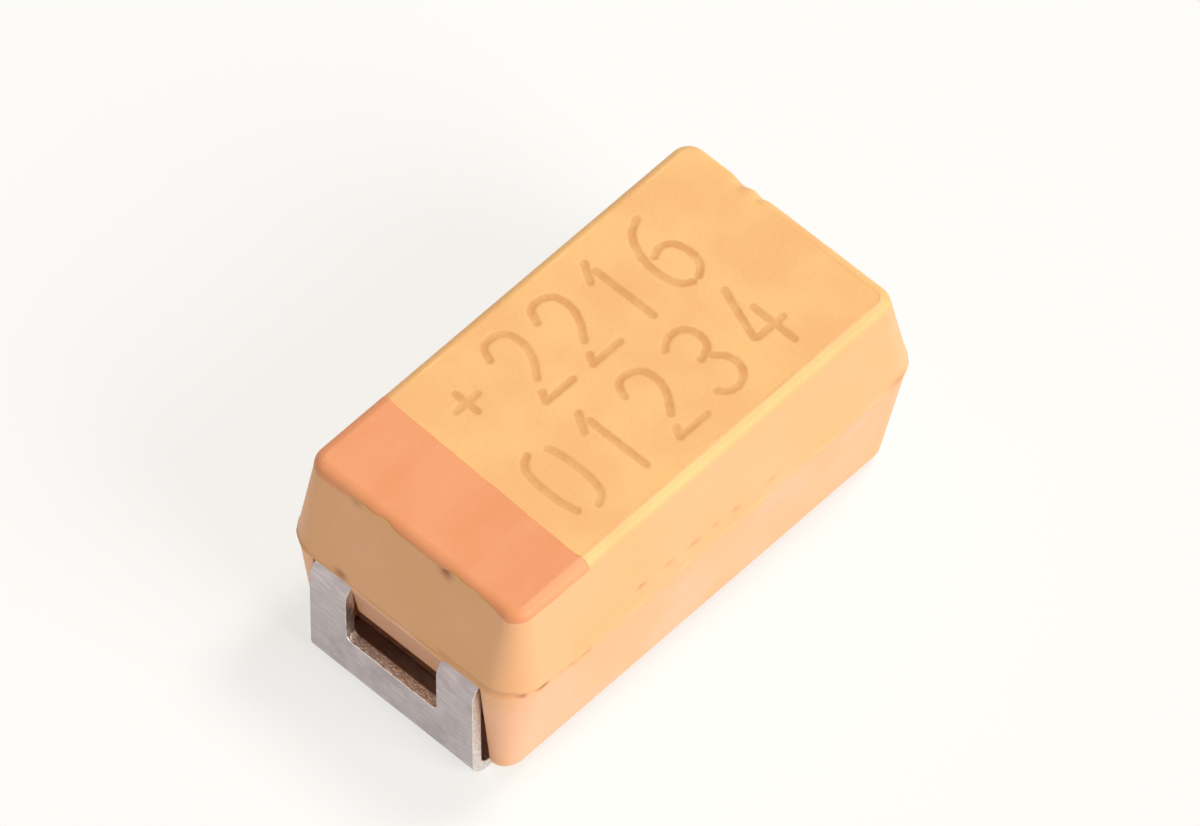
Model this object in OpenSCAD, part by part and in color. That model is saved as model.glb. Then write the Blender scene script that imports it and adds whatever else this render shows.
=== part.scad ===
// Moulded tantalum chip capacitor, surface mount, with folded sheet terminals.
// The anode end, with the polarity band, points along -X. The solder pads rest on z = 0.

/* [Overall size] */
// Length over the outer faces of both terminals
part_len = 6.0; // [5.9:0.05:6.3]
// Width of the case at its parting line
case_w = 3.15; // [3.05:0.05:3.5]
// Height from the solder pads to the top of the case
part_h = 2.65; // [2.6:0.05:2.9]

/* [Moulded case] */
// Height of the parting line, which is also the top face of both lead frames
parting_z = 1.52; // [1.45:0.01:1.56]
// Gap between the underside of the case and the board
standoff = 0.08; // [0.04:0.01:0.12]
// How far a terminal's outer face stands beyond the case's end
terminal_proud = 0.075; // [0.05:0.005:0.12]
// Draft angle of the end walls above the parting line
end_draft_up = 12.5; // [6:0.5:14]
// Draft angle of the side walls above the parting line
side_draft_up = 8; // [4:0.5:10]
// Draft angle of the end walls below the parting line
end_draft_low = 10.5; // [5:0.5:12]
// Draft angle of the side walls below the parting line
side_draft_low = 9; // [4:0.5:10]
// Upright corner radius at the parting line
corner_r = 0.42; // [0.3:0.02:0.5]
// Upright corner radius where the walls meet the top and bottom edge rounds
rim_corner_r = 0.26; // [0.2:0.02:0.3]
// Round along the top edges
top_edge_r = 0.12; // [0.05:0.01:0.16]
// Round along the bottom edges
bottom_edge_r = 0.08; // [0.04:0.01:0.12]
// How far the flash at the parting line stands out
flash_out = 0.015; // [0.005:0.005:0.03]
// Thickness of that flash
flash_t = 0.03; // [0.02:0.01:0.06]

/* [Terminals] */
// Thickness of the lead frame sheet
sheet_t = 0.13; // [0.1:0.01:0.16]
// Width of a terminal
terminal_w = 2.2; // [2.1:0.05:2.4]
// Inside radius of every bend
bend_r = 0.1; // [0.06:0.01:0.14]
// Length of the solder pad under the case, from the terminal's outer face
foot_len = 1.3; // [1.0:0.05:1.6]
// Width of the window between a terminal's two legs
window_w = 1.22; // [1.0:0.02:1.4]
// Height of the window's lower edge
window_z = 0.7; // [0.5:0.05:0.9]
// Corner radius of the window
window_r = 0.08; // [0.04:0.01:0.15]
// Width of the bar that joins the two legs again inside the case
bridge_w = 0.3; // [0.2:0.02:0.34]
// Free space round a terminal in its pocket in the case
pocket_gap = 0.05; // [0.03:0.01:0.08]
// Free space between a solder pad and the case above it
foot_gap = 0.02; // [0.01:0.01:0.05]

/* [Tantalum slug] */
// Length of the pressed and sintered slug
slug_len = 3.3; // [2.6:0.1:3.4]
// Width of the slug
slug_w = 2.1; // [1.6:0.1:2.2]
// Height of the slug
slug_h = 1.3; // [1.0:0.05:1.36]
// Chamfer on the slug's edges
slug_chamfer = 0.1; // [0.06:0.01:0.16]
// Thickness of the manganese dioxide coat
mno2_t = 0.04; // [0.02:0.01:0.05]
// Thickness of the graphite coat
graphite_t = 0.03; // [0.02:0.01:0.04]
// Thickness of the silver coat
silver_t = 0.04; // [0.02:0.01:0.05]
// Bare margin that the graphite leaves at the wire's end, and the silver on the graphite
coat_margin = 0.12; // [0.05:0.01:0.3]

/* [Lead wire and washer] */
// Diameter of the tantalum lead wire
wire_d = 0.32; // [0.24:0.02:0.36]
// How deep the wire reaches into the slug
wire_embed = 2.3; // [1.5:0.1:2.5]
// How far the weld sinks the wire onto the anode tongue
weld_sink = 0.04; // [0.02:0.01:0.06]
// Length of wire that is welded to the anode tongue
weld_len = 0.46; // [0.3:0.02:0.5]
// Outer diameter of the insulating washer
washer_d = 0.9; // [0.6:0.05:1.1]
// Thickness of the insulating washer
washer_t = 0.15; // [0.1:0.01:0.2]
// Gap between the washer and the tip of the anode tongue
tongue_gap = 0.24; // [0.15:0.01:0.3]
// Width of the anode tongue under the wire
tongue_w = 0.9; // [0.6:0.05:1.1]

/* [Cathode cradle] */
// Thickness of the silver adhesive between the slug and the cradle
adhesive_t = 0.05; // [0.02:0.01:0.06]
// Width of the silver adhesive
adhesive_w = 1.7; // [1.2:0.05:1.9]
// Width of the cradle under the slug
cradle_w = 2.0; // [1.9:0.05:2.1]
// Length of the cradle's floor under the slug
cradle_len = 2.4; // [1.6:0.1:2.6]
// Width of the hole in the cradle's floor
cradle_hole_w = 0.7; // [0.4:0.05:0.9]
// Length of the hole in the cradle's floor
cradle_hole_len = 0.9; // [0.5:0.05:1.1]
// Flat run of the lead frame between the cathode terminal's bend and the cradle's
cathode_run = 0.34; // [0.34:0.01:0.4]

/* [Polarity band] */
// Distance of the band's inner edge from the terminal's outer face
band_len = 1.34; // [1.0:0.02:1.6]
// How far the ink runs down over the top edges
band_drop = 0.1; // [0.05:0.01:0.2]
// Depth of the ink, which is flush with the case
ink_t = 0.02; // [0.01:0.005:0.03]

/* [Hidden] */

arc_steps = 8;                                    // facets in a quarter of an upright case corner
edge_steps = 4;                                   // facets across an edge round
bore_fn = 64;                                     // circle segments of wires, bends and washers
past = 0.1;                                       // how far a cut runs past what it cuts

half_len = part_len / 2;
case_half_l = half_len - terminal_proud;          // case at the parting line
case_half_w = case_w / 2;
bend_out = bend_r + sheet_t;                      // outside radius of a bend
exit_x = half_len - bend_out;                     // where the lead frames leave the epoxy
frame_under_z = parting_z - sheet_t;              // lower face of both lead frames
foot_pocket_z = sheet_t + foot_gap;               // roof of the solder pads' pockets

wire_z = parting_z + wire_d / 2 - weld_sink;
coat_t = mno2_t + graphite_t + silver_t;
cradle_wall_x = exit_x - cathode_run - bend_out;  // the cradle wall's face towards the slug
slug_back_x = cradle_wall_x - adhesive_t - coat_t;
slug_face_x = slug_back_x - slug_len;             // the face that the wire leaves
slug_mid_x = slug_back_x - slug_len / 2;
graphite_x = slug_face_x + coat_margin;
silver_x = graphite_x + coat_margin;
cradle_top_z = wire_z - slug_h / 2 - coat_t - adhesive_t;
tongue_tip_x = slug_face_x - washer_t - tongue_gap;
wire_end_x = tongue_tip_x - weld_len;
window_in_x = -wire_end_x + bridge_w;             // where each window ends inside the case
window_top_z = parting_z + past;
band_edge_x = band_len - half_len;

// ---------- Case form ----------

// Points of one quarter corner of a rounded rectangle, at height z
function corner(hx, hy, r, sx, sy, from, z) = [
    for (i = [0 : arc_steps])
        let (a = from + 90 * i / arc_steps)
        [sx * (hx - r) + r * cos(a), sy * (hy - r) + r * sin(a), z]
];

// Ring of a rounded rectangle with half sizes hx and hy, at height z
function ring(hx, hy, r, z) = concat(
    corner(hx, hy, r, 1, 1, 0, z), corner(hx, hy, r, -1, 1, 90, z),
    corner(hx, hy, r, -1, -1, 180, z), corner(hx, hy, r, 1, -1, 270, z)
);

// Half size of a drafted wall at height z, grown by g
function wall(half, draft, z, g) = half - abs(z - parting_z) * tan(draft) + g / cos(draft);

// Upright corner radius at height z, between the parting line and a rim
function upright_r(z, rim_z) =
    corner_r + (rim_corner_r - corner_r) * (z - parting_z) / (rim_z - parting_z);

// Rings of the round along a rim: up = 1 for the top edges and -1 for the bottom edges
function rim_rings(rim_z, r, up, end_draft, side_draft, g) =
    let (
        first = max(end_draft, side_draft),
        mid_z = rim_z - up * r,
        cx = wall(case_half_l, end_draft, mid_z, g) - (r + g) / cos(end_draft),
        cy = wall(case_half_w, side_draft, mid_z, g) - (r + g) / cos(side_draft)
    )
    [
        for (i = [0 : edge_steps])
            let (a = first + (90 - first) * i / edge_steps, out = (r + g) * cos(a))
            ring(cx + out, cy + out, upright_r(rim_z, rim_z) + g - (r + g) + out,
                mid_z + up * (r + g) * sin(a))
    ];

// One ring at the parting line, dz above it, standing out by extra
function parting_ring(dz, extra, end_draft, side_draft, g) =
    let (z = parting_z + dz)
    ring(wall(case_half_l, end_draft, z, g) + extra, wall(case_half_w, side_draft, z, g) + extra,
        corner_r + g + extra, z);

function reversed(list) = [for (i = [len(list) - 1 : -1 : 0]) list[i]];

// All rings of the case from bottom to top, grown by g on every side
function case_rings(g) = concat(
    reversed(rim_rings(standoff, bottom_edge_r, -1, end_draft_low, side_draft_low, g)),
    [
        parting_ring(-flash_t, 0, end_draft_low, side_draft_low, g),
        parting_ring(-flash_t / 3, flash_out, end_draft_low, side_draft_low, g),
        parting_ring(flash_t / 3, flash_out, end_draft_up, side_draft_up, g),
        parting_ring(flash_t, 0, end_draft_up, side_draft_up, g)
    ],
    rim_rings(part_h, top_edge_r, 1, end_draft_up, side_draft_up, g)
);

// Closed skin through a stack of rings that all have the same number of points
module loft(rings) {
    n = len(rings[0]);
    last = len(rings) - 1;
    points = [for (r = rings) each r];
    walls = [
        for (k = [0 : last - 1], i = [0 : n - 1])
            let (j = (i + 1) % n, a = k * n + i, b = k * n + j)
            each [[a, a + n, b + n], [a, b + n, b]]
    ];
    bottom = [for (i = [0 : n - 1]) i];
    top = [for (i = [n - 1 : -1 : 0]) last * n + i];
    polyhedron(points, concat(walls, [bottom, top]), convexity = 4);
}

module case_form(g = 0) {
    loft(case_rings(g));
}

// Room for a terminal outside the lower half of the case: the end wall is set back behind it,
// and the underside above its solder pad. side = -1 is the anode end, 1 the cathode end.
module terminal_pocket(side) {
    half_w = terminal_w / 2 + pocket_gap;
    set_back = (frame_under_z - foot_pocket_z) * tan(end_draft_low);
    mirror([side < 0 ? 1 : 0, 0, 0]) {
        translate([0, half_w, 0])
            rotate([90, 0, 0])
                linear_extrude(2 * half_w)
                    polygon([
                        [exit_x, frame_under_z],
                        [exit_x - set_back, foot_pocket_z],
                        [half_len - foot_len - pocket_gap, foot_pocket_z],
                        [half_len - foot_len - pocket_gap, -past],
                        [half_len + past, -past],
                        [half_len + past, frame_under_z]
                    ]);
        for (s = [-1, 1])
            translate([exit_x, s > 0 ? window_w / 2 : -half_w, frame_under_z - past])
                cube([half_len, half_w - window_w / 2, sheet_t + past]);
    }
}

// Everything that the epoxy is moulded round
module encapsulated() {
    anode_sheet();
    cathode_sheet();
    coated_slug();
    adhesive_form();
    wire_form();
    washer_form();
}

// Skin of the case that the ink takes up, and the space outside it
module ink_zone() {
    difference() {
        translate([-half_len - past, -case_w, part_h - band_drop])
            cube([band_edge_x + half_len + past, 2 * case_w, part_h]);
        case_form(-ink_t);
    }
}

module moulded_case() {
    color("#fdc67b")
        difference() {
            case_form();
            ink_zone();
            terminal_pocket(-1);
            terminal_pocket(1);
            encapsulated();
        }
}

module polarity_band() {
    color("#ee9a63")
        intersection() {
            case_form();
            ink_zone();
        }
}

// ---------- Lead frames ----------

// Quarter of a bend in profile, about its centre, in the quarter that starts at angle a
module bend(a) {
    rotate(a)
        intersection() {
            difference() {
                circle(bend_out, $fn = bore_fn);
                circle(bend_r, $fn = bore_fn);
            }
            square(bend_out + past);
        }
}

// Side profile of a terminal at the +X end: solder pad, leg and the run into the case to x_in
module terminal_profile(x_in) {
    translate([half_len - foot_len, 0])
        square([foot_len - bend_out, sheet_t]);
    translate([exit_x, bend_out])
        bend(270);
    translate([half_len - sheet_t, bend_out])
        square([sheet_t, parting_z - 2 * bend_out]);
    translate([exit_x, parting_z - bend_out])
        bend(0);
    translate([x_in, frame_under_z])
        square([exit_x - x_in, sheet_t]);
}

// Profile in x and z carried across the part by width w
module across(w) {
    translate([0, w / 2, 0])
        rotate([90, 0, 0])
            linear_extrude(w)
                children();
}

// Window through the leg, with round lower corners, that runs on into the case to x_in
module window_cut(x_in) {
    translate([x_in, 0, 0])
        rotate([90, 0, 90])
            linear_extrude(half_len - x_in + past) {
                translate([-window_w / 2, window_z + window_r])
                    square([window_w, window_top_z - window_z - window_r]);
                translate([-window_w / 2 + window_r, window_z])
                    square([window_w - 2 * window_r, window_r + past]);
                for (s = [-1, 1])
                    translate([s * (window_w / 2 - window_r), window_z + window_r])
                        circle(window_r, $fn = bore_fn);
            }
}

module anode_sheet() {
    mirror([1, 0, 0])
        difference() {
            across(terminal_w)
                terminal_profile(-tongue_tip_x);
            window_cut(window_in_x);
            for (s = [-1, 1])
                translate([
                    -tongue_tip_x - past,
                    s > 0 ? tongue_w / 2 : -terminal_w / 2 - past,
                    frame_under_z - past
                ])
                    cube([weld_len + past, (terminal_w - tongue_w) / 2 + past, sheet_t + 2 * past]);
        }
}

module anode_terminal() {
    color("#b8b2b4")
        anode_sheet();
}

// Cradle in profile: bend down from the flat run, wall behind the slug, bend and floor under it
module cradle_profile() {
    wall_low_z = cradle_top_z + bend_r;
    translate([exit_x - cathode_run, parting_z - bend_out])
        bend(90);
    translate([cradle_wall_x, wall_low_z])
        square([sheet_t, parting_z - bend_out - wall_low_z]);
    translate([cradle_wall_x - bend_r, wall_low_z])
        bend(270);
    translate([cradle_wall_x - cradle_len, cradle_top_z - sheet_t])
        square([cradle_len - bend_r, sheet_t]);
}

module cathode_sheet() {
    difference() {
        union() {
            difference() {
                across(terminal_w)
                    terminal_profile(exit_x - cathode_run);
                window_cut(exit_x - cathode_run + bridge_w / 2);
            }
            across(cradle_w)
                cradle_profile();
        }
        translate([
            cradle_wall_x - (cradle_len + cradle_hole_len) / 2,
            -cradle_hole_w / 2,
            cradle_top_z - sheet_t - past
        ])
            cube([cradle_hole_len, cradle_hole_w, sheet_t + 2 * past]);
    }
}

module cathode_terminal() {
    color("#b8b2b4")
        cathode_sheet();
}

// ---------- Slug, wire and coats ----------

// Block with all twelve edges chamfered
module chamfered_block(l, w, h, c) {
    intersection() {
        linear_extrude(h, center = true)
            chamfered_rect(l, w, c);
        rotate([90, 0, 0])
            linear_extrude(w, center = true)
                chamfered_rect(l, h, c);
        rotate([90, 0, 90])
            linear_extrude(l, center = true)
                chamfered_rect(w, h, c);
    }
}

module chamfered_rect(a, b, c) {
    x = a / 2;
    y = b / 2;
    polygon([
        [x, y - c], [x - c, y], [c - x, y], [-x, y - c],
        [-x, c - y], [c - x, -y], [x - c, -y], [x, c - y]
    ]);
}

// The slug grown by g on every side, so that each coat keeps one thickness
module slug_form(g = 0) {
    translate([slug_mid_x, 0, wire_z])
        chamfered_block(slug_len + 2 * g, slug_w + 2 * g, slug_h + 2 * g,
            slug_chamfer + (2 - sqrt(2)) * g);
}

// The slug grown by g, from the plane x0 back to the cradle
module slug_behind(g, x0) {
    intersection() {
        slug_form(g);
        translate([x0, -slug_w, wire_z - slug_h])
            cube([slug_len + past, 2 * slug_w, 2 * slug_h]);
    }
}

module coated_slug() {
    slug_form(mno2_t);
    slug_behind(mno2_t + graphite_t, graphite_x);
    slug_behind(coat_t, silver_x);
}

// Rod along x on the wire's axis
module rod(x0, x1, d) {
    translate([x0, 0, wire_z])
        rotate([0, 90, 0])
            cylinder(h = x1 - x0, d = d, $fn = bore_fn);
}

module wire_form() {
    difference() {
        rod(wire_end_x, slug_face_x + wire_embed, wire_d);
        translate([wire_end_x - past, -wire_d, wire_z - wire_d])
            cube([weld_len + past, 2 * wire_d, parting_z - wire_z + wire_d]);
    }
}

module washer_form() {
    rod(slug_face_x - washer_t, slug_face_x, washer_d);
}

module tantalum_slug() {
    color("#6d6f73")
        difference() {
            slug_form();
            wire_form();
        }
}

module lead_wire() {
    color("#8f9296")
        wire_form();
}

module insulating_washer() {
    color("#f2f2ee")
        difference() {
            washer_form();
            wire_form();
        }
}

module manganese_dioxide_coat() {
    color("#2b2624")
        difference() {
            slug_form(mno2_t);
            slug_form();
            washer_form();
        }
}

module graphite_coat() {
    color("#3c3d40")
        difference() {
            slug_behind(mno2_t + graphite_t, graphite_x);
            slug_form(mno2_t);
        }
}

module silver_coat() {
    color("#c9c8c2")
        difference() {
            slug_behind(coat_t, silver_x);
            slug_form(mno2_t + graphite_t);
        }
}

// Adhesive under the slug and behind it, up to the cradle
module adhesive_form() {
    difference() {
        translate([cradle_wall_x - cradle_len, -adhesive_w / 2, cradle_top_z])
            cube([cradle_len, adhesive_w, parting_z - bend_out - cradle_top_z]);
        slug_form(coat_t);
        cathode_sheet();
    }
}

module silver_adhesive() {
    color("#d5d4cd")
        adhesive_form();
}

moulded_case();
polarity_band();
anode_terminal();
cathode_terminal();
tantalum_slug();
lead_wire();
insulating_washer();
manganese_dioxide_coat();
graphite_coat();
silver_coat();
silver_adhesive();
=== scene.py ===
import math

import bmesh
import bpy
import numpy as np
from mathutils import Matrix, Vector


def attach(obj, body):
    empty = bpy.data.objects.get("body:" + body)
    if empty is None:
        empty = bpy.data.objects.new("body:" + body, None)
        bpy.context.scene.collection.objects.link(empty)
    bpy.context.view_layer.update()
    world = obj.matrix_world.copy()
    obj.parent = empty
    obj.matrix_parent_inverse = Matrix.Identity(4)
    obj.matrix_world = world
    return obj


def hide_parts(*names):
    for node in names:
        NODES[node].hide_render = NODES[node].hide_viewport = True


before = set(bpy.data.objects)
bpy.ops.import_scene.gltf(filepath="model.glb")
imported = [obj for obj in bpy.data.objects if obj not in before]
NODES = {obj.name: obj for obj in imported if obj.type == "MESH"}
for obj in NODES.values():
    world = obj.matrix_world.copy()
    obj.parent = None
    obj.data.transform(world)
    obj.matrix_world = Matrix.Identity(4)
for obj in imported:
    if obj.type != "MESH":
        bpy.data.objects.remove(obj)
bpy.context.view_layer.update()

MM = 0.001                       # every size below is in millimetres

# ---------- Sizes of the moulded case ----------

PARTING_Z = 1.52                 # height of the parting line
TOP_Z = 2.65
UNDER_Z = 0.08                   # underside of the case above the board
HALF_L, HALF_W = 2.925, 1.575    # half length and half width at the parting line
DRAFT_UP = (12.5, 8.0)           # draft of the end and side walls above the parting line, degrees
DRAFT_LOW = (10.5, 9.0)          # the same below it
CORNER_R, RIM_CORNER_R = 0.42, 0.22
TOP_EDGE_R, BOTTOM_EDGE_R = 0.12, 0.08
FLASH_OUT, FLASH_T = 0.015, 0.03
INK_FILM = 0.004                 # how far the moulded skin lies under the face of the ink

SHEET_T = 0.13
EXIT_X = 2.77                    # where the lead frames leave the epoxy
FRAME_UNDER_Z = PARTING_Z - SHEET_T
POCKET_ROOF_Z = 0.15
POCKET_HALF_W = 1.13
LIP_TOP_Z, LIP_Z = 1.47, 1.02    # upper and lower edge of the wall between the legs
LIP_BITE = 0.1                   # how far that wall reaches into the case behind it
UNDERCUT_X, UNDERCUT_HALF_W = 2.45, 1.0  # the recess under it
WINDOW_HALF_W, WINDOW_Z = 0.61, 0.7
FOOT_IN_X = 1.65                 # inner end of a solder pad's pocket
PAST_X, PAST_Z = 3.2, -0.1       # clear of the part, for cutters
BAND_EDGE_X = -1.66              # the band's edge across the top
INK_T = 0.012
STAND_OUT = 0.0135               # most that flash may stand out at the parting line
LEAN, LEAN_FROM_X, LEAN_RUN = 0.09, -1.9, 0.7  # slope of the lower anode end and where it starts
BURN_DEPTH = 0.005
BURN_EDGE, BURN_MOST = 0.085, 0.14  # the burn attribute at a stroke's edge, and its largest value

# ---------- Grid of the skin ----------

NX, NY, ARC = 220, 114, 8        # cells along and across the top, and cells in half a corner
RING = 2 * (NX + NY)
RIM_ROWS, WALL_ROWS = 7, 32      # rows in the upper round and in the upper wall
LOW_RIM_ROWS, LOW_WALL_ROWS = 4, 20
SEAM_Z = (0.020, 0.010, 0.0, -0.010, -0.020)  # rows across the flash, from the parting line


def waves(x, y, size, seed, count=14):
    """Smooth noise of about -1 to 1: the mean of sine waves in seeded random directions, whose
    lengths lie between size and three times size."""
    rng = np.random.default_rng(seed)
    way = rng.uniform(0, 2 * math.pi, count)
    length = size * rng.uniform(1.0, 3.0, count)
    start = rng.uniform(0, 2 * math.pi, count)
    total = np.zeros(np.broadcast(x, y).shape)
    for a, l, s in zip(way, length, start):
        total = total + np.sin(2 * math.pi * (x * math.cos(a) + y * math.sin(a)) / l + s)
    return total / math.sqrt(count / 2)


def bell(d, width):
    """Bell curve of d, 1 at d = 0 and small beyond the width."""
    return np.exp(-((d / width) ** 2))


def edge_run(count, run, out, r):
    """One side of a rounded rectangle for each row of half run, half out and corner radius, as
    (along, outward) points from one corner's middle up to the next: half an arc, the straight,
    half an arc. Also the outward unit direction of each point in the same axes."""
    run, out, r = (np.asarray(v, float)[:, None] for v in (run, out, r))
    a = np.linspace(math.pi / 4, 0, ARC + 1)[None, :]
    arc = np.stack([-(run - r) - r * np.sin(a), (out - r) + r * np.cos(a)], -1)
    arc_n = np.broadcast_to(np.stack([-np.sin(a), np.cos(a)], -1), arc.shape)
    t = np.linspace(-1, 1, count - 2 * ARC + 1)[None, 1:-1]
    straight = np.stack([(run - r) * t, out + 0 * t * run], -1)
    straight_n = np.zeros(straight.shape)
    straight_n[..., 1] = 1
    flip = np.array([-1.0, 1.0])
    points = np.concatenate([arc, straight, arc[:, ::-1] * flip], 1)[:, :-1]
    normals = np.concatenate([arc_n, straight_n, arc_n[:, ::-1] * flip], 1)[:, :-1]
    return points, normals


def rings(hx, hy, r):
    """Rounded rectangles with half sizes hx and hy and corner radius r, one per row, as RING
    points each, counter-clockwise from the corner at -x -y, with their outward directions."""
    parts = []
    for side in range(4):
        long_side = side % 2 == 0
        run, out = (hx, hy) if long_side else (hy, hx)
        turned = []
        for v in edge_run(NX if long_side else NY, run, out, r):
            s, d = v[..., 0], v[..., 1]
            turned.append(np.stack([(s, -d), (d, s), (-s, d), (-d, -s)][side], -1))
        parts.append(turned)
    return np.concatenate([p[0] for p in parts], 1), np.concatenate([p[1] for p in parts], 1)


def profile(steps_rim, steps_wall, up, grow):
    """Rows (half length, half width, corner radius, height) of one half of the case, from the rim
    to the parting line: a round of steps_rim rows over the edge, then a drafted wall."""
    rim_z, r = (TOP_Z, TOP_EDGE_R) if up > 0 else (UNDER_Z, BOTTOM_EDGE_R)
    drafts = [math.radians(d) for d in (DRAFT_UP if up > 0 else DRAFT_LOW)]
    mid_z = rim_z - up * r
    halves = [half - abs(mid_z - PARTING_Z) * math.tan(d) - r / math.cos(d)
              for half, d in zip((HALF_L, HALF_W), drafts)]
    a = np.linspace(math.pi / 2, max(drafts), steps_rim + 1)
    out = (r + grow) * np.cos(a)
    rim = np.stack([halves[0] + out, halves[1] + out, RIM_CORNER_R - r + out,
                    mid_z + up * (r + grow) * np.sin(a)], -1)
    z = PARTING_Z + up * FLASH_T
    last = [half - FLASH_T * math.tan(d) + grow / math.cos(d)
            for half, d in zip((HALF_L, HALF_W), drafts)] + [CORNER_R + grow, z]
    t = np.linspace(0, 1, steps_wall + 1)[1:, None]
    return np.concatenate([rim, rim[-1] + (np.array(last) - rim[-1]) * t])


def top_grid(rim):
    """Points (NX+1, NY+1, 2) spread over the area inside one ring: a blend of the four sides
    (a Coons patch)."""
    rim = np.concatenate([rim, rim[:1]])
    front, right = rim[: NX + 1], rim[NX: NX + NY + 1]
    back, left = rim[NX + NY: 2 * NX + NY + 1][::-1], rim[2 * NX + NY:][::-1]
    u = np.linspace(0, 1, NX + 1)[:, None, None]
    v = np.linspace(0, 1, NY + 1)[None, :, None]
    across = (1 - v) * front[:, None] + v * back[:, None]
    along = (1 - u) * left[None] + u * right[None]
    corners = ((1 - u) * (1 - v) * front[0] + u * (1 - v) * front[-1]
               + (1 - u) * v * back[0] + u * v * back[-1])
    return across + along - corners


# ---------- Marking ----------

# Strokes of plain digits in a box 1 wide and 1 high, with the gaps of a stencil
STROKES = {
    "plus": [[(0, .5), (1, .5)], [(.5, 0), (.5, 1)]],
    "0": [[(.42, 1), (.12, .92), (0, .7), (0, .3), (.1, .1)],
          [(.58, 0), (.88, .08), (1, .3), (1, .7), (.9, .9)]],
    "1": [[(.2, .78), (.55, 1)], [(.58, .84), (.58, 0)]],
    "2": [[(0, .8), (.15, .98), (.5, 1), (.88, .92), (.95, .7), (.8, .5), (.4, .28)],
          [(.2, .12), (.05, 0), (1, 0)]],
    "3": [[(0, .9), (.3, 1), (.75, .98), (.95, .8), (.85, .6), (.4, .53)],
          [(.7, .48), (.98, .35), (.95, .12), (.6, 0), (.2, .01), (0, .12)]],
    "4": [[(.62, 1), (.1, .36), (.1, .3), (.55, .3)], [(.72, .62), (.72, 0)], [(.86, .3), (1, .3)]],
    "6": [[(.8, 1), (.35, .9), (.05, .6), (0, .3), (.12, .08), (.4, 0)],
          [(.62, .01), (.92, .1), (1, .3), (.9, .5), (.6, .58), (.3, .52)]],
}
STROKE_W = 0.086                 # width of a burnt stroke
# name, middle in x and y, width, height
MARKS = [
    ("plus", -1.14, 0.75, 0.30, 0.30),
    ("2", -0.42, 0.66, 0.40, 0.92), ("2", 0.22, 0.64, 0.40, 0.92),
    ("1", 0.84, 0.62, 0.36, 0.92), ("6", 1.47, 0.62, 0.42, 0.92),
    ("0", -1.16, -0.56, 0.42, 0.90), ("1", -0.50, -0.57, 0.36, 0.90),
    ("2", 0.17, -0.58, 0.40, 0.90), ("3", 0.84, -0.57, 0.40, 0.90),
    ("4", 1.52, -0.58, 0.42, 0.90),
]


def stroke_distance(x, y):
    """Distance from each point to the nearest stroke's middle line. The corners of a stroke are
    cut twice (Chaikin), which rounds it."""
    nearest = np.full(x.shape, 2 * HALF_L)
    for name, cx, cy, w, h in MARKS:
        near = (np.abs(x - cx) < w) & (np.abs(y - cy) < h)
        px, py = x[near], y[near]
        best = nearest[near]
        for stroke in STROKES[name]:
            p = np.array(stroke, float)
            for _ in range(2 if len(p) > 3 else 0):
                a, b = p[:-1], p[1:]
                cut = np.stack([a + (b - a) * .25, a + (b - a) * .75], 1).reshape(-1, 2)
                p = np.concatenate([p[:1], cut, p[-1:]])
            p = (p - .5) * [w, h] + [cx, cy]
            for a, b in zip(p[:-1], p[1:]):
                run = b - a
                t = np.clip(((px - a[0]) * run[0] + (py - a[1]) * run[1]) / (run @ run), 0, 1)
                best = np.minimum(best, np.hypot(px - a[0] - t * run[0], py - a[1] - t * run[1]))
        nearest[near] = best
    return nearest


# ---------- Materials ----------

def linear(colour):
    """Linear colour with alpha from an sRGB hex string."""
    c = [int(colour[i:i + 2], 16) / 255 for i in (1, 3, 5)]
    return [v / 12.92 if v <= 0.04045 else ((v + 0.055) / 1.055) ** 2.4 for v in c] + [1.0]


def add(tree, kind, inputs=None, **settings):
    """Adds one node. inputs gives its sockets by name or number: a socket is linked, and a plain
    value is set. settings are the node's own."""
    node = tree.nodes.new("ShaderNode" + kind)
    for key, value in settings.items():
        setattr(node, key, value)
    for key, value in (inputs or {}).items():
        if isinstance(value, bpy.types.NodeSocket):
            tree.links.new(value, node.inputs[key])
        else:
            node.inputs[key].default_value = value
    return node


def material(name, **surface):
    """A new material with one Principled shader, and its tree, shader and Object coordinates."""
    m = bpy.data.materials.new(name)
    m.use_nodes = True
    tree = m.node_tree
    tree.nodes.clear()
    shader = add(tree, "BsdfPrincipled", surface)
    add(tree, "OutputMaterial", {"Surface": shader.outputs[0]})
    return m, tree, shader, add(tree, "TexCoord").outputs["Object"]


def noise(tree, where, size, detail=2.0, roughness=0.5):
    """Noise whose grains are about size millimetres across."""
    return add(tree, "TexNoise", {"Vector": where, "Scale": 1 / (size * MM), "Detail": detail,
                                  "Roughness": roughness}).outputs["Fac"]


def ramp(tree, value, low, high, to_low=0.0, to_high=1.0):
    """Maps value from low..high to to_low..to_high, clamped and smooth."""
    return add(tree, "MapRange", {"Value": value, "From Min": low, "From Max": high,
                                  "To Min": to_low, "To Max": to_high},
               interpolation_type="SMOOTHSTEP").outputs["Result"]


def mix(tree, factor, a, b):
    """Colour a, turning into b where factor is 1."""
    return add(tree, "Mix", {0: factor, 6: a, 7: b}, data_type="RGBA").outputs[2]


def bump(tree, shader, height, distance):
    """Relief of that height in millimetres on the shader."""
    relief = add(tree, "Bump", {"Height": height, "Distance": distance * MM, "Strength": 1.0})
    tree.links.new(relief.outputs["Normal"], shader.inputs["Normal"])


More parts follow.
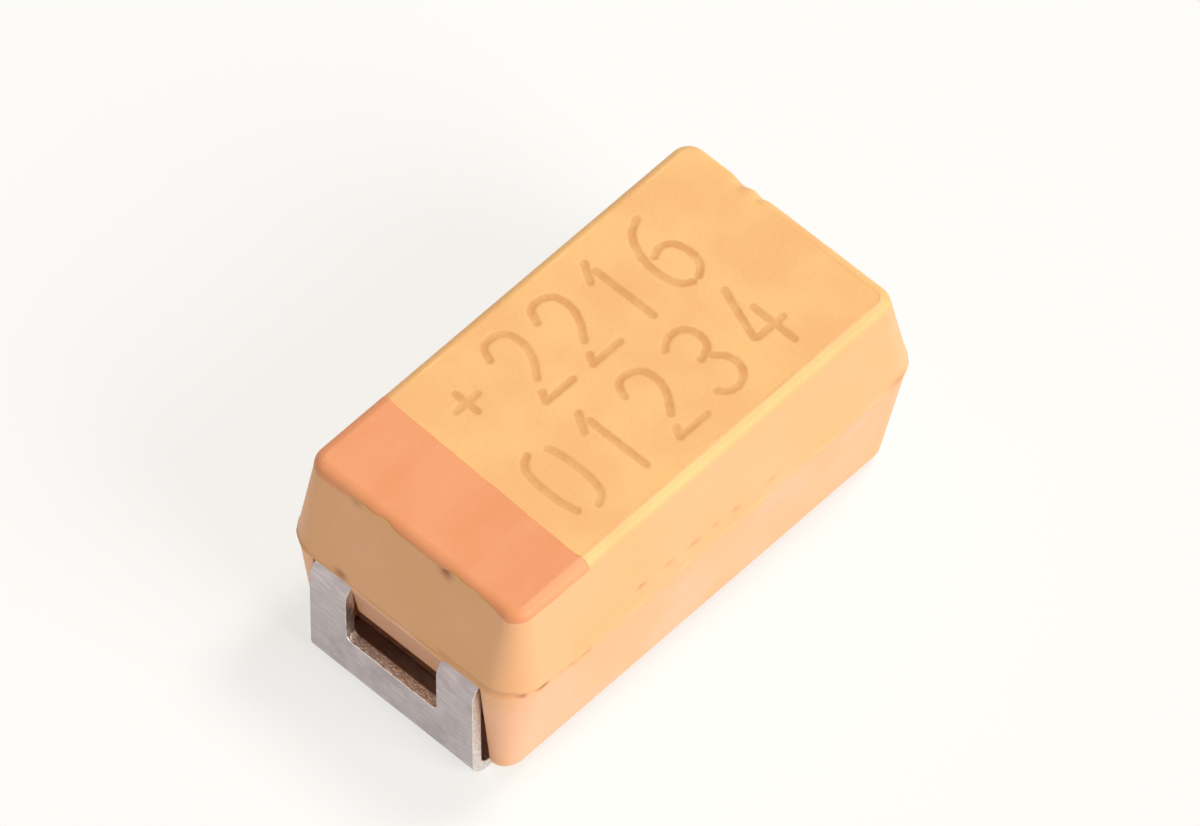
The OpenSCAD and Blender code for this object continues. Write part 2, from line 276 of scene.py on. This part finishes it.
def moulded_epoxy():
    """Transfer-moulded golden epoxy: a matt skin with the fine grain of its silica filler, slight flow
    clouds, and a tan burn where the laser marked it. Painted shade darkens the recessed wall between a
    terminal's legs and the dents, groove and pit of the walls, and a few more spots are darker."""
    m, tree, shader, where = material("moulded_epoxy", Roughness=0.46, IOR=1.5)
    tone = add(tree, "Attribute", attribute_name="tone").outputs["Fac"]
    colour = mix(tree, ramp(tree, tone, 0.0, 1.0), linear("#FBC27A"), linear("#F6B681"))
    colour = mix(tree, ramp(tree, tone, 1.0, 2.0), colour, linear("#F7BA90"))
    clouds = ramp(tree, noise(tree, where, 0.9, 3.0), 0.35, 0.65, 0.0, 0.6)
    colour = mix(tree, clouds, colour, linear("#F2B070"))
    # painted shade: tone 3, the recessed wall between a terminal's legs, turns a darker reddish brown
    colour = mix(tree, ramp(tree, tone, 2.0, 3.0), colour, linear("#D79A72"))
    grain = ramp(tree, noise(tree, where, 0.035, 2.0), 0.5, 0.75, 0.0, 0.2)
    colour = mix(tree, grain, colour, linear("#EDAE6C"))
    burn = add(tree, "Attribute", attribute_name="burn").outputs["Fac"]
    rough = noise(tree, where, 0.05, 2.0)
    edge = add(tree, "Math", {0: rough, 1: 0.02, 2: -0.01}, operation="MULTIPLY_ADD").outputs[0]
    burnt = add(tree, "Math", {0: burn, 1: edge}, operation="ADD").outputs[0]
    fade = ramp(tree, noise(tree, where, 0.22, 2.0), 0.35, 0.6, 0.6, 0.95)
    inside = ramp(tree, burnt, BURN_EDGE - 0.015, BURN_EDGE + 0.013)
    stroke = add(tree, "Math", {0: inside, 1: fade}, operation="MULTIPLY").outputs[0]
    colour = mix(tree, stroke, colour, linear("#E09E58"))
    # painted shade in the gate's dents, the parting line's groove and the end's pit, and a few darker
    # spots, from a per-point attribute
    shade_and_spots = add(tree, "Attribute", attribute_name="shade_and_spots").outputs["Fac"]
    colour = mix(tree, shade_and_spots, colour, linear("#9C5A30"))
    tree.links.new(colour, shader.inputs["Base Color"])
    bump(tree, shader, noise(tree, where, 0.04, 3.0), 0.0025)
    return m


def band_ink():
    """Printed orange ink: a thin matt film with faint streaks from the roller."""
    m, tree, shader, where = material("printed_orange_ink", Roughness=0.5, IOR=1.5)
    along = add(tree, "Mapping", {"Vector": where, "Scale": (0.5, 1.0, 1.0)}).outputs[0]
    streaks = ramp(tree, noise(tree, along, 0.5, 3.0), 0.3, 0.7)
    colour = mix(tree, streaks, linear("#F3A06B"), linear("#EE9863"))
    tree.links.new(colour, shader.inputs["Base Color"])
    bump(tree, shader, noise(tree, where, 0.045, 3.0), 0.002)
    return m


def tinned_sheet():
    """Matt tin plate on lead frame alloy: satin, with the sheet's rolling grain and small dents."""
    m, tree, shader, where = material("tinned_sheet", Metallic=1.0, Roughness=0.4)
    rolled = add(tree, "Mapping", {"Vector": where, "Scale": (1.0, 0.12, 1.0)}).outputs[0]
    grain = ramp(tree, noise(tree, rolled, 0.03, 3.0), 0.3, 0.7)
    colour = mix(tree, grain, linear("#C6BCBD"), linear("#B5ABAD"))
    blotch = ramp(tree, noise(tree, where, 0.35, 3.0), 0.45, 0.7, 0.0, 0.6)
    colour = mix(tree, blotch, colour, linear("#A69B9D"))
    tree.links.new(colour, shader.inputs["Base Color"])
    tree.links.new(ramp(tree, noise(tree, where, 0.12, 3.0), 0.3, 0.7, 0.34, 0.5),
                   shader.inputs["Roughness"])
    bump(tree, shader, noise(tree, where, 0.07, 4.0), 0.004)
    return m


def sheared_edge_highlit():
    """Edge of the lead frame sheet where the die cut it: bare warm metal, torn in fine steps, its
    colour raised to near white as a painted highlight on these narrow faces.
    """
    m, tree, shader, where = material("sheared_sheet_edge_highlit", Metallic=1.0, Roughness=0.36)
    torn = ramp(tree, noise(tree, where, 0.05, 4.0, 0.7), 0.35, 0.7)
    # near-white colour: the bare cut metal, lightened further as a painted highlight
    colour = mix(tree, torn, linear("#D6CCC5"), linear("#F6F0EA"))
    tree.links.new(colour, shader.inputs["Base Color"])
    bump(tree, shader, noise(tree, where, 0.03, 4.0), 0.008)
    return m


def grainy(name, dark, light, size, relief, **surface):
    """A plain material of two tones in grains of that size in millimetres, with relief."""
    m, tree, shader, where = material(name, **surface)
    tone = ramp(tree, noise(tree, where, size, 3.0), 0.3, 0.7)
    tree.links.new(mix(tree, tone, linear(dark), linear(light)), shader.inputs["Base Color"])
    bump(tree, shader, noise(tree, where, size * 0.6, 3.0), relief)
    return m


EPOXY, INK, TIN, EDGE_HIGHLIT = moulded_epoxy(), band_ink(), tinned_sheet(), sheared_edge_highlit()
INNER = {
    # pressed powder, sintered: dull grey metal with open pores
    "tantalum_slug": grainy("sintered_tantalum", "#4A4B50", "#77797F", 0.02, 0.006,
                            Metallic=1.0, Roughness=0.75),
    # drawn wire: blue-grey metal, smooth
    "lead_wire": grainy("drawn_tantalum", "#80838C", "#989BA3", 0.03, 0.001,
                        Metallic=1.0, Roughness=0.3),
    # skived fluoropolymer disc: white and waxy
    "insulating_washer": grainy("ptfe_washer", "#E9EAE6", "#F3F4F0", 0.08, 0.002,
                                Roughness=0.45, IOR=1.35),
    # pyrolysed nitrate: black, rough and matt
    "manganese_dioxide_coat": grainy("manganese_dioxide", "#17171A", "#2A2A2E", 0.02, 0.006,
                                     Roughness=0.85, IOR=1.6),
    # dried colloidal graphite: near black with a low sheen
    "graphite_coat": grainy("graphite", "#2B2C2F", "#3C3D41", 0.03, 0.003,
                            Roughness=0.5, IOR=1.8),
    # dried silver paint: pale flakes in a binder
    "silver_coat": grainy("silver_paint", "#B7B7B5", "#D2D2CF", 0.03, 0.003,
                          Metallic=1.0, Roughness=0.5),
    # cured silver-filled epoxy: duller and coarser than the paint
    "silver_adhesive": grainy("silver_adhesive", "#A3A29E", "#BFBEBA", 0.04, 0.006,
                              Metallic=1.0, Roughness=0.6),
}


def finish_node(name, mat):
    """Puts a material on a CAD node's own slot, without touching its mesh."""
    o = NODES[name]
    if not o.material_slots:
        o.data.materials.append(None)
    o.material_slots[0].link = "OBJECT"
    o.material_slots[0].material = mat


for node_name, mat in {"moulded_case": EPOXY, "polarity_band": INK, "anode_terminal": TIN,
                       "cathode_terminal": TIN, **INNER}.items():
    finish_node(node_name, mat)


# ---------- Making pieces ----------

def piece(name, points, faces, mats, node, fields=None):
    """A smooth mesh from points in millimetres. fields are values per point."""
    mesh = bpy.data.meshes.new(name)
    mesh.from_pydata((np.asarray(points) * MM).tolist(), [], faces)
    for key, values in (fields or {}).items():
        a = mesh.attributes.new(key, "FLOAT", "POINT")
        a.data.foreach_set("value", np.asarray(values, np.float32))
    mesh.shade_smooth()
    o = bpy.data.objects.new(name, mesh)
    bpy.context.scene.collection.objects.link(o)
    for m in mats:
        mesh.materials.append(m)
    return declare(o, node)


def declare(o, node):
    """Puts a piece on the root body and hides the CAD node that it stands for."""
    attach(o, "root")
    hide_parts(node)
    return o


def applied(o):
    """Turns an object's modifiers into its mesh."""
    dg = bpy.context.evaluated_depsgraph_get()
    mesh = bpy.data.meshes.new_from_object(o.evaluated_get(dg), preserve_all_data_layers=True,
                                           depsgraph=dg)
    o.modifiers.clear()
    o.data = mesh


def prism(outline, low, high):
    """Closed prism: an outline in x and z carried along y from low to high."""
    n = len(outline)
    pts = [(x, y, z) for y in (low, high) for x, z in outline]
    sides = [[i, (i + 1) % n, n + (i + 1) % n, n + i] for i in range(n)]
    mesh = bpy.data.meshes.new("cutter")
    mesh.from_pydata((np.array(pts) * MM).tolist(), [], sides + [list(range(n))[::-1],
                                                              list(range(n, 2 * n))])
    b = bmesh.new()
    b.from_mesh(mesh)
    bmesh.ops.recalc_face_normals(b, faces=b.faces)
    b.to_mesh(mesh)
    b.free()
    o = bpy.data.objects.new("cutter", mesh)
    bpy.context.scene.collection.objects.link(o)
    return o


def boolean(o, other, operation):
    """Cuts or joins other into o for good, and removes other."""
    m = o.modifiers.new(operation.lower(), "BOOLEAN")
    m.operation, m.object, m.solver = operation, other, "EXACT"
    applied(o)
    bpy.data.objects.remove(other)


# ---------- Moulded case ----------

# The gate's torn strip on the front side: its ends, its height at the strip's left part, how it
# falls along x, and the distance over which its ends fade
GATE_X, GATE_AT, GATE_Z, GATE_FALL, GATE_FADE = (-1.2, 1.62), -1.1, 1.72, 0.04, 0.15
# dents along the gate, darkened with painted shade: middle in x, half length, how dark
GATE_DENTS = ((-1.08, .07, .5), (-.70, .06, .45), (-.34, .08, .4), (-.04, .05, .3),
              (.24, .05, .45), (.74, .07, .3))
# darker patches on the front side: x, half length, z, half height, how dark
FRONT_DARK_PATCHES = ((-1.86, 0.06, 1.50, 0.03, 0.5), (2.55, 0.12, PARTING_Z + 0.02, 0.05, 0.40))
# the dark run of the parting line near the front corner, a groove with painted shade along it: its
# ends, and how it falls along x
RUN_X, RUN_FALL = (-2.8, -1.8), 0.05
# the pit, with painted shade in it, and two darker spots of the anode end: y, half width, z, half
# height, how deep, how dark
END_SPOTS = ((-0.45, 0.075, 2.555, 0.048, 0.02, 0.95), (0.76, 0.08, 1.57, 0.04, 0.01, 0.8),
             (0.74, 0.07, 2.56, 0.035, 0.0, 0.35))


def side_details(x, y, z, nx, ny):
    """Displacement outwards and darkening on the walls: the broken flash of the parting line, the
    gate's torn strip and its dents on the front side with painted shade in the dents, a dark run of
    the parting line whose darkness is painted shade along its groove, and darker patches. Each is a
    bell curve across its middle, times its own course along the wall."""
    arc = np.where(np.abs(ny) > np.abs(nx), x, y + 9.0 * np.sign(nx))
    ragged = 0.7 + 0.3 * waves(arc, np.sign(nx + 2 * ny) * 3.0, 0.30, 11)
    out = FLASH_OUT * np.clip(ragged, 0.15, 1.0) * bell(z - PARTING_Z, 0.016)
    front = (ny < -0.9) & (y < 0)
    gate_z = GATE_Z - GATE_FALL * (x - GATE_AT)
    inside = (np.clip((x - GATE_X[0]) / GATE_FADE, 0, 1)
              * np.clip((GATE_X[1] - x) / GATE_FADE, 0, 1) * front)
    torn = np.clip(0.5 + 0.5 * waves(x, z * 2.0, 0.16, 5, 24), 0, 1)
    out = out + 0.010 * inside * torn * bell(z - gate_z + 0.07, 0.06)

    shade_and_spots = np.zeros(x.shape)
    for at, long, strength in GATE_DENTS:
        dent = bell(x - at, long) * bell(z - gate_z - 0.02, 0.022) * front
        out = out - 0.012 * dent
        # painted shade in the dent
        shade_and_spots = shade_and_spots + strength * dent
    run = (np.clip((x - RUN_X[0]) / 0.1, 0, 1) * np.clip((RUN_X[1] - x) / 0.06, 0, 1)
           * (ny < -0.5) * (y < 0))
    groove = run * bell(z - (PARTING_Z + 0.02 - RUN_FALL * (x - RUN_X[0])), 0.018)
    out = out - 0.02 * groove
    # painted shade along the groove of the run
    shade_and_spots = shade_and_spots + 0.55 * groove * (0.7 + 0.5 * waves(x, 0 * x, 0.1, 21))
    for at, long, height, high, strength in FRONT_DARK_PATCHES:
        shade_and_spots = shade_and_spots + strength * bell(x - at, long) * bell(z - height, high) * front
    return out, np.clip(shade_and_spots, 0, 1)


def end_details(y, z, nx):
    """Displacement and darkening on the anode end: a small pit under the band with painted shade in
    it, two faint darker spots and a darker line over the parting line at the front corner."""
    end = nx < -0.6
    line = bell(z - PARTING_Z - 0.05, 0.02) * end * np.clip((-0.5 - y) / 0.1, 0, 1)
    out, shade_and_spots = np.zeros(y.shape), 0.35 * line
    for at, wide, height, high, deep, strength in END_SPOTS:
        spot = bell(y - at, wide) * bell(z - height, high) * end
        out = out - deep * spot
        # darkening of each spot; in the pit it is painted shade
        shade_and_spots = shade_and_spots + strength * spot
    return out, shade_and_spots


CHIP_IN, CHIP_DOWN = 0.045, 0.030  # how far the chip goes in and down


def far_chip(x, y, z):
    """Depth from 0 to 1 of a shallow double chip in the far end's top edge: two bell curves along
    the edge, fading away from it."""
    edge_x = HALF_L - (TOP_Z - PARTING_Z) * math.tan(math.radians(DRAFT_UP[0]))
    along = bell(y - 0.66, 0.09) + 0.6 * bell(y - 0.40, 0.06)
    return along * bell(z - TOP_Z, 0.11) * bell(x - edge_x, 0.12)


def case_skin():
    """The moulded case: drafted walls and rounds as rings from the rim to the underside, closed by
    a grid over the top and one face below. The marking's strokes are grooves BURN_DEPTH deep."""
    g = -INK_FILM
    upper = profile(RIM_ROWS, WALL_ROWS, 1, g)
    lower = profile(LOW_RIM_ROWS, LOW_WALL_ROWS, -1, g)[::-1]
    seam_z = np.array(SEAM_Z)
    seam = np.stack([np.interp(seam_z, [-FLASH_T, 0, FLASH_T], [lower[0][k], v, upper[-1][k]])
                     for k, v in ((0, HALF_L + g), (1, HALF_W + g), (2, CORNER_R + g))]
                    + [PARTING_Z + seam_z], -1)
    rows = np.concatenate([upper, seam, lower])
    flat, out = rings(rows[:, 0], rows[:, 1], rows[:, 2])
    z = np.broadcast_to(rows[:, 3][:, None], flat.shape[:2]).copy()
    x, y, nx, ny = flat[..., 0], flat[..., 1], out[..., 0], out[..., 1]
    d1, side_shade_and_spots = side_details(x, y, z, nx, ny)
    d2, end_shade_and_spots = end_details(y, z, nx)
    chip = far_chip(x, y, z)
    shift = d1 + d2 - CHIP_IN * chip
    z = z - CHIP_DOWN * chip
    limit_x, limit_y = HALF_L + STAND_OUT, HALF_W + STAND_OUT
    # the lower part of the anode end stands closer to the leg beside it
    fall = np.clip(PARTING_Z - FLASH_T - z, 0, None)
    lean = LEAN * fall * np.clip((LEAN_FROM_X - x) / LEAN_RUN, 0, 1)
    walls = np.stack([np.clip(x + nx * shift - lean, -limit_x, limit_x),
                      np.clip(y + ny * shift, -limit_y, limit_y), z], -1)
    walls_shade_and_spots = np.clip(side_shade_and_spots + end_shade_and_spots, 0, 1)

    top = top_grid(flat[0])[1:-1, 1:-1]
    d = stroke_distance(top[..., 0], top[..., 1])
    burn = np.clip(BURN_EDGE + STROKE_W / 2 - d, 0, BURN_MOST)
    depth = BURN_DEPTH * np.clip((STROKE_W / 2 - d) / 0.02, 0, 1)
    wavy = 0.0012 * (waves(top[..., 0], top[..., 1], 0.8, 3) - 1)
    top_z = rows[0, 3] - depth + np.minimum(wavy, 0)
    top_z = top_z - CHIP_DOWN * far_chip(top[..., 0], top[..., 1], rows[0, 3])
    top = np.concatenate([top, top_z[..., None]], -1)

    levels = len(rows)
    points = np.concatenate([walls.reshape(-1, 3), top.reshape(-1, 3)])
    index = np.empty((NX + 1, NY + 1), int)
    index[1:-1, 1:-1] = levels * RING + np.arange((NX - 1) * (NY - 1)).reshape(NX - 1, NY - 1)
    index[:, 0] = np.arange(NX + 1)
    index[-1, :] = NX + np.arange(NY + 1)
    index[::-1, -1] = NX + NY + np.arange(NX + 1)
    index[0, ::-1] = (2 * NX + NY + np.arange(NY + 1)) % RING
    caps = np.stack([index[:-1, :-1], index[1:, :-1], index[1:, 1:], index[:-1, 1:]], -1)
    p = np.arange(RING)
    row = (np.arange(levels - 1) * RING)[:, None]
    here, then = row + p, row + (p + 1) % RING
    sides = np.stack([here, here + RING, then + RING, then], -1)
    faces = caps.reshape(-1, 4).tolist() + sides.reshape(-1, 4).tolist()
    faces.append(((levels - 1) * RING + p)[::-1].tolist())
    fields = {"burn": np.concatenate([0 * walls_shade_and_spots.ravel(), burn.ravel()]),
              "shade_and_spots": np.concatenate([walls_shade_and_spots.ravel(), 0 * burn.ravel()])}
    return piece("moulded_case_skin", points, faces, [EPOXY], "moulded_case", fields)


def pocket_cutter(side):
    """Room round one terminal: a prism behind the leg and over the pad, and a slot at each leg."""
    back = (FRAME_UNDER_Z - POCKET_ROOF_Z) * math.tan(math.radians(DRAFT_LOW[0]))
    outline = [(EXIT_X, FRAME_UNDER_Z), (EXIT_X - back, POCKET_ROOF_Z),
               (FOOT_IN_X, POCKET_ROOF_Z), (FOOT_IN_X, PAST_Z), (PAST_X, PAST_Z),
               (PAST_X, FRAME_UNDER_Z)]
    whole = prism([(side * x, z) for x, z in outline], -POCKET_HALF_W, POCKET_HALF_W)
    for s in (-1, 1):
        slot = [(EXIT_X, FRAME_UNDER_Z - 0.1), (PAST_X, FRAME_UNDER_Z - 0.1),
                (PAST_X, PARTING_Z), (EXIT_X, PARTING_Z)]
        ends = sorted((s * WINDOW_HALF_W, s * POCKET_HALF_W))
        boolean(whole, prism([(side * x, z) for x, z in slot], *ends), "UNION")
    return whole


def window_lip(side):
    """The epoxy that stays between the legs: a wall from the parting line down to LIP_Z, and the
    undercut beneath it, as the outline to fill and the outline to cut."""
    slope, face_x = math.tan(math.radians(DRAFT_LOW[0])), HALF_L - INK_FILM
    fill = [(EXIT_X - LIP_BITE, LIP_TOP_Z), (EXIT_X - LIP_BITE, LIP_Z),
            (face_x - (PARTING_Z - LIP_Z) * slope, LIP_Z),
            (face_x - (PARTING_Z - LIP_TOP_Z) * slope, LIP_TOP_Z)]
    cut = [(UNDERCUT_X, LIP_Z), (UNDERCUT_X, POCKET_ROOF_Z), (EXIT_X, POCKET_ROOF_Z),
           (EXIT_X, LIP_Z)]
    half = WINDOW_HALF_W - 0.01
    return (prism([(side * x, z) for x, z in fill], -half, half),
            prism([(side * x, z) for x, z in cut], -UNDERCUT_HALF_W, UNDERCUT_HALF_W))


def tone_of_height(o):
    """Value per point from 0 on the top through 1 on the upper walls to 2 on the lower walls, and 3 on
    the wall between a terminal's legs, which the material darkens as painted shade of that recess."""
    co = np.empty(len(o.data.vertices) * 3, np.float32)
    o.data.vertices.foreach_get("co", co)
    x, y, z = co.reshape(-1, 3).T / MM
    tone = np.clip((TOP_Z - 0.03 - z) / 0.10, 0, 1) + np.clip((PARTING_Z + 0.05 - z) / 0.25, 0, 1)
    # painted shade: the recessed wall between the legs gets tone 3, which the material darkens
    between = (np.abs(y) < WINDOW_HALF_W) & (np.abs(x) > 2.6) & (z < PARTING_Z - 0.04)
    tone = np.where(between, 3.0, tone)
    a = o.data.attributes.new("tone", "FLOAT", "POINT")
    a.data.foreach_set("value", tone.astype(np.float32))


skin = case_skin()
for side in (-1, 1):
    boolean(skin, pocket_cutter(side), "DIFFERENCE")
    lip, undercut = window_lip(side)
    boolean(skin, lip, "UNION")
    boolean(skin, undercut, "DIFFERENCE")
tone_of_height(skin)
skin.data.materials.clear()
skin.data.materials.append(EPOXY)
skin.data.set_sharp_from_angle(angle=math.radians(50))


# ---------- Polarity band ----------

BAND_STEPS = 8                   # rows of the strip that hangs over the round
BORDER_SIDES = (0.105, 0.12)     # how low the ink reaches on the front and on the far side
# how low it reaches on the end: at these y, this far under the top
BORDER_Y = (-1.35, -1.2, -0.95, -0.5, -0.3, 0.13, 0.4, 0.75, 0.95, 1.3)
BORDER_DEPTH = (.15, .10, .045, .045, .075, .07, .04, .05, .11, .14)


def band():
    """The ink film over the anode end of the top: the grid of the top up to the band's edge, and
    a strip down over the rounds whose lower border wanders, given a thickness inwards."""
    rows = profile(RIM_ROWS, WALL_ROWS, 1, 0.0)
    depth = TOP_Z - rows[:, 3]
    flat, out = rings(rows[:, 0], rows[:, 1], rows[:, 2])
    grid = top_grid(flat[0])
    last = int(np.argmin(np.abs(grid[:, NY // 2, 0] - BAND_EDGE_X)))
    grid = grid[: last + 1].copy()
    ring_no = np.arange(2 * NX + NY - last, RING + last + 1) % RING
    column = np.concatenate([np.arange(last, -1, -1), np.zeros(NY - 1, int), np.arange(last + 1)])

    def edge_shift(y, col):
        """Moves the points near the band's edge onto its slightly slanted, wavy line."""
        slant = -1.665 + 0.028 * y + 0.0025 * waves(y, 0 * y, 0.22, 31)
        return (slant - BAND_EDGE_X) * np.clip((col - last + 12) / 12, 0, 1)

    grid[..., 0] += edge_shift(grid[..., 1], np.arange(last + 1)[:, None])
    rim = flat[:, ring_no]                       # (rows, points, 2)
    y0 = rim[0, :, 1]
    on_end = column == 0
    low = np.where(on_end, np.interp(y0, BORDER_Y, BORDER_DEPTH), np.where(y0 < 0, *BORDER_SIDES))
    low = np.convolve(np.pad(low, 4, mode="edge"), np.ones(9) / 9, mode="valid")
    low = low + 0.006 * waves(np.arange(len(low)) * 0.024, 0 * y0, 0.2, 17)
    strip = []
    for k in range(1, BAND_STEPS + 1):
        t = low * k / BAND_STEPS
        at = [np.array([np.interp(t[i], depth, rim[:, i, c]) for i in range(len(t))])
              for c in (0, 1)]
        at[0] = at[0] + edge_shift(y0, column)
        strip.append(np.stack([at[0], at[1], TOP_Z - t], -1))
    n = len(ring_no)
    top = np.concatenate([grid, np.full(grid.shape[:2] + (1,), TOP_Z)], -1)
    points = np.concatenate([top.reshape(-1, 3)] + strip)
    index = np.arange((last + 1) * (NY + 1)).reshape(last + 1, NY + 1)
    caps = np.stack([index[:-1, :-1], index[1:, :-1], index[1:, 1:], index[:-1, 1:]], -1)
    first_row = np.concatenate([index[::-1, -1], index[0, ::-1][1:-1], index[:, 0]])
    base = (last + 1) * (NY + 1)
    table = np.concatenate([first_row[None], base + np.arange(BAND_STEPS * n).reshape(BAND_STEPS, n)])
    sides = np.stack([table[:-1, :-1], table[1:, :-1], table[1:, 1:], table[:-1, 1:]], -1)
    faces = caps.reshape(-1, 4).tolist() + sides.reshape(-1, 4).tolist()
    o = piece("polarity_band_ink", points, faces, [INK], "polarity_band")
    film = o.modifiers.new("film", "SOLIDIFY")
    film.thickness, film.offset = INK_T * MM, -1.0


band()


# ---------- Terminals ----------

EASED = 0.012                    # radius that the plating leaves on the sheet's edges
LEG_X, TOE_X = 2.8, 1.8          # the legs lie outside the first, the pads' inner ends inside the last


def terminal(node):
    """A folded terminal: the CAD sheet with its loose triangles joined, its edges eased by the
    plating, and the cut edges of the sheet picked out in near-white metal that also paints their
    highlight."""
    o = bpy.data.objects.new(node + "_sheet", NODES[node].data.copy())
    bpy.context.scene.collection.objects.link(o)
    mesh = o.data
    mesh.materials.clear()
    mesh.materials.append(TIN)
    mesh.materials.append(EDGE_HIGHLIT)
    b = bmesh.new()
    b.from_mesh(mesh)
    bmesh.ops.remove_doubles(b, verts=b.verts, dist=1e-7)
    bmesh.ops.dissolve_limit(b, angle_limit=math.radians(0.5), verts=b.verts, edges=b.edges)
    for f in b.faces:
        f.smooth = True
        c, n = f.calc_center_median() / MM, f.normal
        sill = abs(c.x) > LEG_X and n.z > 0.5 and abs(c.z - WINDOW_Z) < 0.1
        toe = c.z < SHEET_T + 0.01 and abs(n.x) > 0.9 and abs(c.x) < TOE_X
        # the cut edges (sides, window sill, pad toe) take the near-white edge metal, in part a painted
        # highlight
        f.material_index = 1 if abs(n.y) > 0.35 or sill or toe else 0
    b.to_mesh(mesh)
    b.free()
    mesh.set_sharp_from_angle(angle=math.radians(35))
    eased = o.modifiers.new("eased", "BEVEL")
    eased.width, eased.segments = EASED * MM, 2
    eased.limit_method, eased.angle_limit = "ANGLE", math.radians(40)
    eased.harden_normals = True
    declare(o, node)


terminal("anode_terminal")
terminal("cathode_terminal")


# ---------- Floor, light and camera ----------

PAPER = "#FDFCF8"
FLOOR_Z = -0.003                 # a hair under the solder pads
FLOOR_HALF_W = 600.0
FLOOR_GLOW = 0.71                # share of the floor's plain colour that shows in its shadow
SKY = 0.27                       # the sky's share of the floor's light
LAMPS = (
    # name, direction towards the lamp (x, y, z), share of the floor's light, width in degrees
    ("key", (0.72, -0.14, 1.40), 0.40, 16),
    ("fill", (0.12, -1.0, 0.60), 0.34, 36),
)
LAMP_AWAY = 200.0
# degrees round the part and above the floor, and how far away
VIEW_ROUND, VIEW_ABOVE, VIEW_AWAY = -46.35, 54.40, 170.0
LENS, SENSOR_W = 521.8, 36.0
AIM, AIM_RIGHT, AIM_UP = (0, 0, 1.3), -0.036, 0.432  # middle of the case, then across the view


def seen_directly(tree):
    """1 for camera, glossy and transmission rays, otherwise 0."""
    rays = add(tree, "LightPath").outputs
    seen = rays["Is Camera Ray"]
    for kind in ("Is Glossy Ray", "Is Transmission Ray"):
        seen = add(tree, "Math", {0: seen, 1: rays[kind]}, operation="MAXIMUM").outputs[0]
    return seen


def pale_floor():
    """A wide pale floor that keeps the shadow, lightened for what looks at it directly."""
    mesh = bpy.data.meshes.new("floor")
    corners = ((-1, -1), (1, -1), (1, 1), (-1, 1))
    size = FLOOR_HALF_W * MM
    mesh.from_pydata([(x * size, y * size, FLOOR_Z * MM) for x, y in corners], [], [(0, 1, 2, 3)])
    floor = bpy.data.objects.new("floor", mesh)
    bpy.context.scene.collection.objects.link(floor)
    m, tree, shader, _ = material("pale_floor", Roughness=0.9)
    shader.inputs["Base Color"].default_value = linear(PAPER)
    shader.inputs["Specular IOR Level"].default_value = 0.0
    part = add(tree, "Math", {0: seen_directly(tree), 1: FLOOR_GLOW}, operation="MULTIPLY").outputs[0]
    plain = add(tree, "Emission", {"Color": linear(PAPER), "Strength": 1.0}).outputs[0]
    both = add(tree, "MixShader", {0: part, 1: shader.outputs[0], 2: plain}).outputs[0]
    out = next(n for n in tree.nodes if n.type == "OUTPUT_MATERIAL")
    tree.links.new(both, out.inputs["Surface"])
    mesh.materials.append(m)


def pale_world():
    """A plain sky that lights the part softly, and that shows as the floor's colour directly."""
    world = bpy.data.worlds.new("studio")
    world.use_nodes = True
    tree = world.node_tree
    tree.nodes.clear()
    light = add(tree, "Background", {"Color": linear("#FFFFFF"), "Strength": SKY}).outputs[0]
    shown = add(tree, "Background", {"Color": linear(PAPER), "Strength": 1.0}).outputs[0]
    both = add(tree, "MixShader", {0: seen_directly(tree), 1: light, 2: shown}).outputs[0]
    add(tree, "OutputWorld", {"Surface": both})
    bpy.context.scene.world = world


def lamps():
    """Two wide, distant lamps. With the sky they light a flat floor at a level of 1."""
    for name, way, share, wide in LAMPS:
        way = Vector(way).normalized()
        lamp = bpy.data.lights.new(name, "SUN")
        lamp.energy = share * math.pi / way.z
        lamp.angle = math.radians(wide)
        o = bpy.data.objects.new(name, lamp)
        o.rotation_euler = way.to_track_quat("Z", "Y").to_euler()
        o.location = way * LAMP_AWAY * MM
        bpy.context.scene.collection.objects.link(o)


def camera():
    """A long lens from the front left and above, aimed a little above the middle of the part."""
    a, e = math.radians(VIEW_ROUND), math.radians(VIEW_ABOVE)
    back = Vector((math.sin(a) * math.cos(e), -math.cos(a) * math.cos(e), math.sin(e)))
    right = Vector((math.cos(a), math.sin(a), 0))
    up = Vector((-math.sin(a) * math.sin(e), math.cos(a) * math.sin(e), math.cos(e)))
    aim = Vector(AIM) + right * AIM_RIGHT + up * AIM_UP
    data = bpy.data.cameras.new("camera")
    data.sensor_width, data.lens = SENSOR_W, LENS
    data.clip_start, data.clip_end = 0.01, 10.0
    o = bpy.data.objects.new("camera", data)
    o.location = (aim + back * VIEW_AWAY) * MM
    o.rotation_mode = "QUATERNION"
    o.rotation_quaternion = back.to_track_quat("Z", "Y")
    bpy.context.scene.collection.objects.link(o)
    bpy.context.scene.camera = o


pale_floor()
pale_world()
lamps()
camera()
bpy.context.scene.view_settings.view_transform = "Standard"
